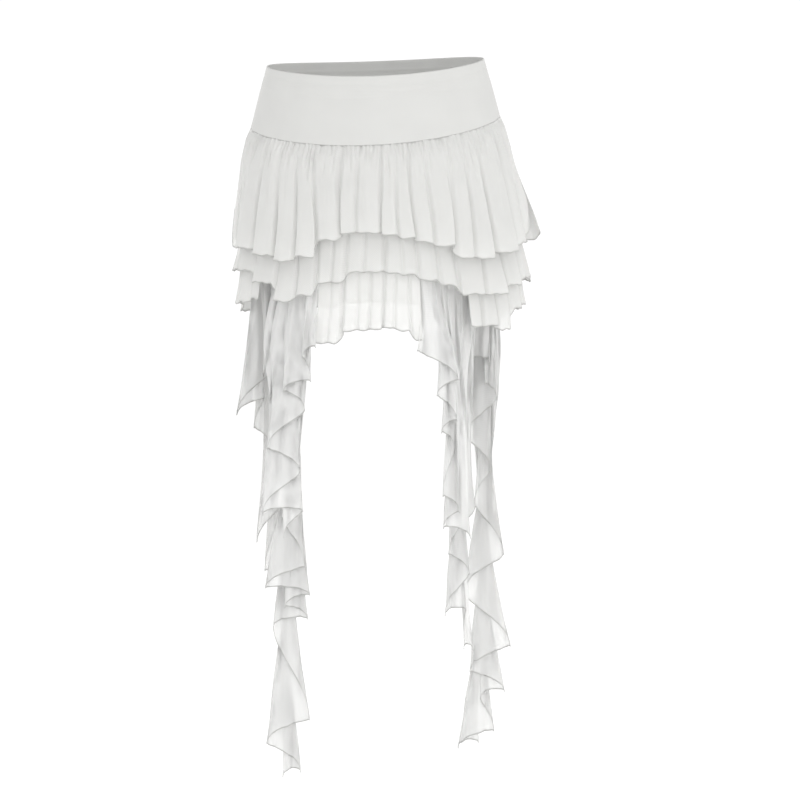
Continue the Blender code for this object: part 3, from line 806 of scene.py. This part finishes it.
def cloth_material(name, tint, opacity, glow, cloth):
    """Fine polyester mesh, knitted and matt: soft white, a little sheer, denser at its hem, with
    painted shade along the hem.
    """
    material, tree, shader, place, parts = matt_cloth(name, 0.82, 0.25)
    shader.inputs["Subsurface Weight"].default_value = glow
    shader.inputs["Subsurface Radius"].default_value = (1.0, 1.0, 1.0)
    shader.inputs["Subsurface Scale"].default_value = 0.003
    # The hem is turned once and sewn, so it has two layers up to its row of stitches. Its darker
    # colour is painted shade of the turned edge.
    hem = below_line(tree, parts, cloth.hem_width)
    cloudy_colour(tree, shader, place, tint, cloth.hem_seam_shade, hem, 38.0, 0.965)
    # Diamonds of the net: drawn coarser than the real 0.4 mm threads so that they show.
    threads = []
    for operation in ("ADD", "SUBTRACT"):
        slanted = add_node(tree, "ShaderNodeMath", {"operation": operation},
                           {0: parts.outputs["X"], 1: parts.outputs["Y"]})
        threads.append(waves(tree, slanted.outputs[0], cloth.net_pitch))
    net = add_node(tree, "ShaderNodeMath", {"operation": "MAXIMUM"},
                   {0: threads[0].outputs[0], 1: threads[1].outputs[0]})
    cover = add_node(tree, "ShaderNodeMapRange",
                     {"From Min": -1.0, "From Max": 1.0,
                      "To Min": opacity - 0.02, "To Max": opacity + 0.02},
                     {"Value": net.outputs[0]})
    alpha = add_node(tree, "ShaderNodeMath", {"operation": "MAXIMUM"},
                     {0: cover.outputs[0], 1: hem.outputs[0]})
    tree.links.new(alpha.outputs[0], shader.inputs["Alpha"])
    raise_threads(tree, shader, net, 0.06)
    return material


def yoke_material(tint, cloth):
    """Doubled matt stretch mesh: opaque and smooth, with a painted shade line along the seam."""
    material, tree, shader, place, parts = matt_cloth("doubled_stretch_mesh", 0.8, 0.2)
    # The seam's shadow is painted as a narrow darker line.
    seam = below_line(tree, parts, SEAM_SHADE_WIDTH)
    cloudy_colour(tree, shader, place, tint, cloth.hem_seam_shade, seam, 24.0, 0.97)
    # Fine knit wales 0.9 mm apart, drawn coarser than the real ones so that they show.
    wales = waves(tree, parts.outputs["X"], WALE_PITCH)
    raise_threads(tree, shader, wales, 0.1)
    return material


def lay_cloth(node, columns, rows, place, cloth, material, slot):
    net = bmesh.new()
    bmesh.ops.create_grid(net, x_segments=columns, y_segments=rows, size=0.5)
    mesh = bpy.data.meshes.new(node + "_cloth")
    net.to_mesh(mesh)
    net.free()
    spots = np.empty(len(mesh.vertices) * 3)
    mesh.vertices.foreach_get("co", spots)
    spots = spots.reshape(-1, 3)
    along = spots[:, 0] + 0.5
    down = 0.5 - spots[:, 1]
    points, above_hem = place(along, down)
    mesh.vertices.foreach_set("co", points.ravel())
    mesh.polygons.foreach_set("use_smooth", np.ones(len(mesh.polygons), dtype=bool))

    grid = points[np.lexsort((along, np.round(down * rows)))].reshape(rows + 1, columns + 1, 3)
    widths = np.linalg.norm(np.diff(grid[:, :, :2], axis=1), axis=2).sum(axis=1)
    width = float(widths.max())
    uv = mesh.uv_layers.new(name="cloth")
    corners = np.empty(len(mesh.loops), dtype=np.int32)
    mesh.loops.foreach_get("vertex_index", corners)
    flat = np.stack((along * width, above_hem), axis=1)[corners]
    uv.data.foreach_set("uv", flat.ravel().astype(np.float32))

    piece = bpy.data.objects.new(node + "_cloth", mesh)
    bpy.context.scene.collection.objects.link(piece)
    mesh.materials.append(material)
    turned = piece.vertex_groups.new(name="turned_hem")
    marked = np.nonzero(above_hem < cloth.hem_width * 1.05)[0]
    turned.add(marked.tolist(), 1.0, "REPLACE")
    wall = piece.modifiers.new("wall", "SOLIDIFY")
    wall.thickness = cloth.yoke_wall if slot == "yoke" else cloth.hem_wall
    wall.offset = 0.0
    if slot != "yoke":
        wall.vertex_group = "turned_hem"
        wall.thickness_vertex_group = cloth.wall / cloth.hem_wall
    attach(piece, "root")
    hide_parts(node)


class SkirtCloth(bpy.types.PropertyGroup):
    """Thickness and hems that all the pieces share."""

    wall: bpy.props.FloatProperty(
        name="Wall", description="Thickness of single mesh", default=0.0004, unit="LENGTH")
    hem_wall: bpy.props.FloatProperty(
        name="Hem wall", description="Thickness of a turned hem", default=0.0009, unit="LENGTH")
    hem_width: bpy.props.FloatProperty(
        name="Hem width", description="Width of a turned hem", default=0.0016, unit="LENGTH")
    yoke_wall: bpy.props.FloatProperty(
        name="Yoke wall", description="Thickness of the doubled yoke", default=0.0013,
        unit="LENGTH")
    net_pitch: bpy.props.FloatProperty(
        name="Net pitch", description="Spacing of the net's threads", default=0.003,
        unit="LENGTH")
    # Painted shade: this darker colour, drawn along the hems and the yoke's seam, stands in for
    # their shadows.
    hem_seam_shade: colour_property("Hem shade", "Colour of the hems and of the seam", "B2B2B0")


class SkirtYoke(bpy.types.PropertyGroup):
    """The smooth band over the hips."""

    # Painted shade: the yoke is the same cloth as the tiers, tinted darker because it catches more
    # light than the layered tiers.
    colour: colour_property("Colour", "Colour of the yoke", "CCCCCA")
    channel_drop: bpy.props.FloatProperty(
        name="Channel drop", description="Distance of the stitched channel under the edge",
        default=0.0125, unit="LENGTH")
    channel_depth: bpy.props.FloatProperty(
        name="Channel depth", description="Depth of the stitched channel", default=0.0006,
        unit="LENGTH")


class SkirtTiers(bpy.types.PropertyGroup):
    """The gathered ruffles."""

    colour: colour_property("Colour", "Colour of the tiers", "EDEDEB")
    opacity: bpy.props.FloatProperty(
        name="Opacity", description="Opacity of one face of the tiers' mesh", default=0.60,
        subtype="FACTOR")
    glow: bpy.props.FloatProperty(
        name="Glow", description="Share of the light that passes on inside the tiers' threads",
        default=0.25, subtype="FACTOR")
    gather_spacing: bpy.props.FloatProperty(
        name="Gather spacing", description="Degrees between the small gathers", default=1.9)
    lobe_crown: bpy.props.FloatProperty(
        name="Lobe crown", description="How far a lobe rounds out, as a share of its depth",
        default=0.16, subtype="FACTOR")
    groove: bpy.props.FloatProperty(
        name="Groove", description="Share of the ring's depth that a main fold takes",
        default=0.9, subtype="FACTOR")
    wander: bpy.props.FloatProperty(
        name="Wander", description="Degrees by which a fold wanders on its way down",
        default=0.55)
    crease_depth: bpy.props.FloatProperty(
        name="Crease depth", description="Share of the soft creases' full depth", default=0.7,
        subtype="FACTOR")
    hem_wave: bpy.props.FloatProperty(
        name="Hem wave", description="Rise and fall of a hem", default=0.0012, unit="LENGTH")
    side_rise: bpy.props.FloatProperty(
        name="Side rise", description="How far the upper front hem rises at the side seams",
        default=0.050, unit="LENGTH")
    back_rise: bpy.props.FloatProperty(
        name="Back rise", description="How far the upper back hem rises at the side seams",
        default=0.014, unit="LENGTH")
    corner_flare: bpy.props.FloatProperty(
        name="Corner flare", description="How far a lower corner of the upper tier stands out",
        default=0.005, unit="LENGTH")
    side_flare: bpy.props.FloatProperty(
        name="Side flare", description="How far the lower tiers stand out at the hips",
        default=0.007, unit="LENGTH")
    flap_flare: bpy.props.FloatProperty(
        name="Flap flare", description="How far the upper tier stands out at the +X hip",
        default=0.014, unit="LENGTH")


class SkirtCascades(bpy.types.PropertyGroup):
    """The waterfall flounces."""

    colour: colour_property("Colour", "Colour of the cascades", "ECECEB")
    opacity: bpy.props.FloatProperty(
        name="Opacity", description="Opacity of one face of the cascades' mesh",
        default=0.72, subtype="FACTOR")
    outer_opacity: bpy.props.FloatProperty(
        name="Outer opacity", description="Opacity of one face of the outer cascades' mesh",
        default=0.52, subtype="FACTOR")
    glow: bpy.props.FloatProperty(
        name="Glow", description="Share of the light that passes on inside the cascades' threads",
        default=0.2, subtype="FACTOR")
    hem_rise: bpy.props.FloatProperty(
        name="Hem rise", description="How far a hem rises between two tips", default=0.006,
        unit="LENGTH")
    flute_depth: bpy.props.FloatProperty(
        name="Flute depth", description="How far a tip comes forward", default=0.010,
        unit="LENGTH")
    flute_height: bpy.props.FloatProperty(
        name="Flute height", description="How far up a flute reaches", default=0.095,
        unit="LENGTH")
    ripple: bpy.props.FloatProperty(
        name="Ripple", description="Depth of the upright flutes of a column", default=0.0026,
        unit="LENGTH")
    ripple_pitch: bpy.props.FloatProperty(
        name="Ripple pitch", description="Width of an upright flute", default=0.015,
        unit="LENGTH")
    bend: bpy.props.FloatProperty(
        name="Bend", description="How far the edges wander to the side", default=0.0015,
        unit="LENGTH")


class SkirtStage(bpy.types.PropertyGroup):
    """Camera, lights and floor."""

    distance: bpy.props.FloatProperty(
        name="Distance", description="Camera distance from the skirt", default=4.0,
        unit="LENGTH")
    field: bpy.props.FloatProperty(
        name="Field", description="Width of view at the skirt", default=1.056, unit="LENGTH")
    eye: bpy.props.FloatProperty(
        name="Eye", description="Height of the camera", default=-0.10, unit="LENGTH")
    middle_x: bpy.props.FloatProperty(
        name="Middle x", description="x of the picture's middle", default=0.0323, unit="LENGTH")
    middle_z: bpy.props.FloatProperty(
        name="Middle z", description="Height of the picture's middle", default=-0.4409,
        unit="LENGTH")
    floor: bpy.props.FloatProperty(
        name="Floor", description="Height of the floor", default=-1.10, unit="LENGTH")
    floor_colour: colour_property("Floor colour", "Colour of the floor", "FEFEFD")


class SKIRT_OT_yoke(bpy.types.Operator):
    """Lay the front and back of the yoke"""

    bl_idname = "skirt.yoke"
    bl_label = "Yoke"

    def execute(self, context):
        scene = context.scene
        material = yoke_material(scene.skirt_yoke.colour, scene.skirt_cloth)
        for node, start in (("yoke_front", -90.0), ("yoke_back", 90.0)):
            place = yoke_place(start, start + 180.0, scene.skirt_yoke)
            lay_cloth(node, YOKE_COLUMNS, YOKE_ROWS, place, scene.skirt_cloth, material,
                      "yoke")
        return {"FINISHED"}


class SKIRT_OT_tiers(bpy.types.Operator):
    """Lay the three gathered ruffles"""

    bl_idname = "skirt.tiers"
    bl_label = "Tiers"

    def execute(self, context):
        scene = context.scene
        cloth = scene.skirt_cloth
        tiers = scene.skirt_tiers
        material = cloth_material("fine_mesh_tier", tiers.colour, tiers.opacity, tiers.glow, cloth)
        for tier in TIERS:
            place = tier_place(tier, tiers, cloth)
            lay_cloth(tier["piece"], tier["columns"], tier["rows"], place, cloth, material,
                      "tier")
        return {"FINISHED"}


class SKIRT_OT_cascades(bpy.types.Operator):
    """Lay the waterfall flounces of both hips"""

    bl_idname = "skirt.cascades"
    bl_label = "Cascades"

    def execute(self, context):
        scene = context.scene
        cloth = scene.skirt_cloth
        flounces = scene.skirt_cascades
        inner = cloth_material("sheer_mesh_cascade", flounces.colour, flounces.opacity,
                               flounces.glow, cloth)
        outer = cloth_material("sheer_mesh_outer_cascade", flounces.colour,
                               flounces.outer_opacity, flounces.glow, cloth)
        for cascade in CASCADES:
            place = cascade_place(cascade, flounces, cloth)
            material = outer if cascade["piece"].endswith("_side") else inner
            columns = PASS_COLUMNS * (len(cascade["turns"]["hem"]) - 1)
            lay_cloth(cascade["piece"], columns, cascade["rows"], place, cloth, material,
                      "cascade")
        return {"FINISHED"}


class SKIRT_OT_stage(bpy.types.Operator):
    """Set the floor, the lights and the camera"""

    bl_idname = "skirt.stage"
    bl_label = "Stage"

    def execute(self, context):
        scene = context.scene
        stage = scene.skirt_stage
        scene.view_settings.view_transform = "Standard"
        net = bmesh.new()
        bmesh.ops.create_grid(net, x_segments=1, y_segments=1, size=8.0)
        bmesh.ops.translate(net, verts=net.verts, vec=(0.0, 0.0, stage.floor))
        mesh = bpy.data.meshes.new("floor")
        net.to_mesh(mesh)
        net.free()
        floor = bpy.data.objects.new("floor", mesh)
        scene.collection.objects.link(floor)
        paint = bpy.data.materials.new("matt_white_paint")
        paint.use_nodes = True
        shader = paint.node_tree.nodes["Principled BSDF"]
        shader.inputs["Base Color"].default_value = (*stage.floor_colour, 1.0)
        shader.inputs["Roughness"].default_value = 0.9
        mesh.materials.append(paint)

        world = bpy.data.worlds.new("studio")
        world.use_nodes = True
        sky = world.node_tree.nodes["Background"]
        sky.inputs["Color"].default_value = (1.0, 1.0, 1.0, 1.0)
        sky.inputs["Strength"].default_value = 1.05
        scene.world = world
        for name, spot, size, power in LIGHTS:
            lamp = bpy.data.lights.new(name, "AREA")
            lamp.size = size
            lamp.energy = power
            light = bpy.data.objects.new(name, lamp)
            aim = Vector(LIGHT_AIM) - Vector(spot)
            light.location = spot
            light.rotation_euler = aim.to_track_quat("-Z", "Y").to_euler()
            scene.collection.objects.link(light)

        camera = bpy.data.cameras.new("camera")
        camera.sensor_width = 36.0
        camera.lens = camera.sensor_width * stage.distance / stage.field
        view = bpy.data.objects.new("camera", camera)
        view.location = (0.0, -stage.distance, stage.eye)
        aim = Vector((stage.middle_x, 0.0, stage.middle_z)) - view.location
        view.rotation_euler = aim.to_track_quat("-Z", "Y").to_euler()
        scene.collection.objects.link(view)
        scene.camera = view
        return {"FINISHED"}


class SKIRT_PT_panel(bpy.types.Panel):
    """The skirt's pieces in the sidebar"""

    bl_idname = "SKIRT_PT_panel"
    bl_label = "Ruffled mini skirt"
    bl_space_type = "VIEW_3D"
    bl_region_type = "UI"
    bl_category = "Skirt"

    def draw(self, context):
        for operator in OPERATORS:
            self.layout.operator(operator.bl_idname)


OPERATORS = (SKIRT_OT_yoke, SKIRT_OT_tiers, SKIRT_OT_cascades, SKIRT_OT_stage)
GROUPS = (
    # property of the scene, group
    ("skirt_cloth", SkirtCloth),
    ("skirt_yoke", SkirtYoke),
    ("skirt_tiers", SkirtTiers),
    ("skirt_cascades", SkirtCascades),
    ("skirt_stage", SkirtStage),
)


def register():
    """Register the groups, operators and panel."""
    for name, group in GROUPS:
        bpy.utils.register_class(group)
        setattr(bpy.types.Scene, name, bpy.props.PointerProperty(type=group))
    for operator in OPERATORS:
        bpy.utils.register_class(operator)
    bpy.utils.register_class(SKIRT_PT_panel)


def unregister():
    """Remove the panel, operators and groups."""
    bpy.utils.unregister_class(SKIRT_PT_panel)
    for operator in reversed(OPERATORS):
        bpy.utils.unregister_class(operator)
    for name, group in reversed(GROUPS):
        delattr(bpy.types.Scene, name)
        bpy.utils.unregister_class(group)


def main():
    """Build the skirt and its stage."""
    register()
    bpy.ops.skirt.yoke()
    bpy.ops.skirt.tiers()
    bpy.ops.skirt.cascades()
    bpy.ops.skirt.stage()


if __name__ == "__main__":
    main()
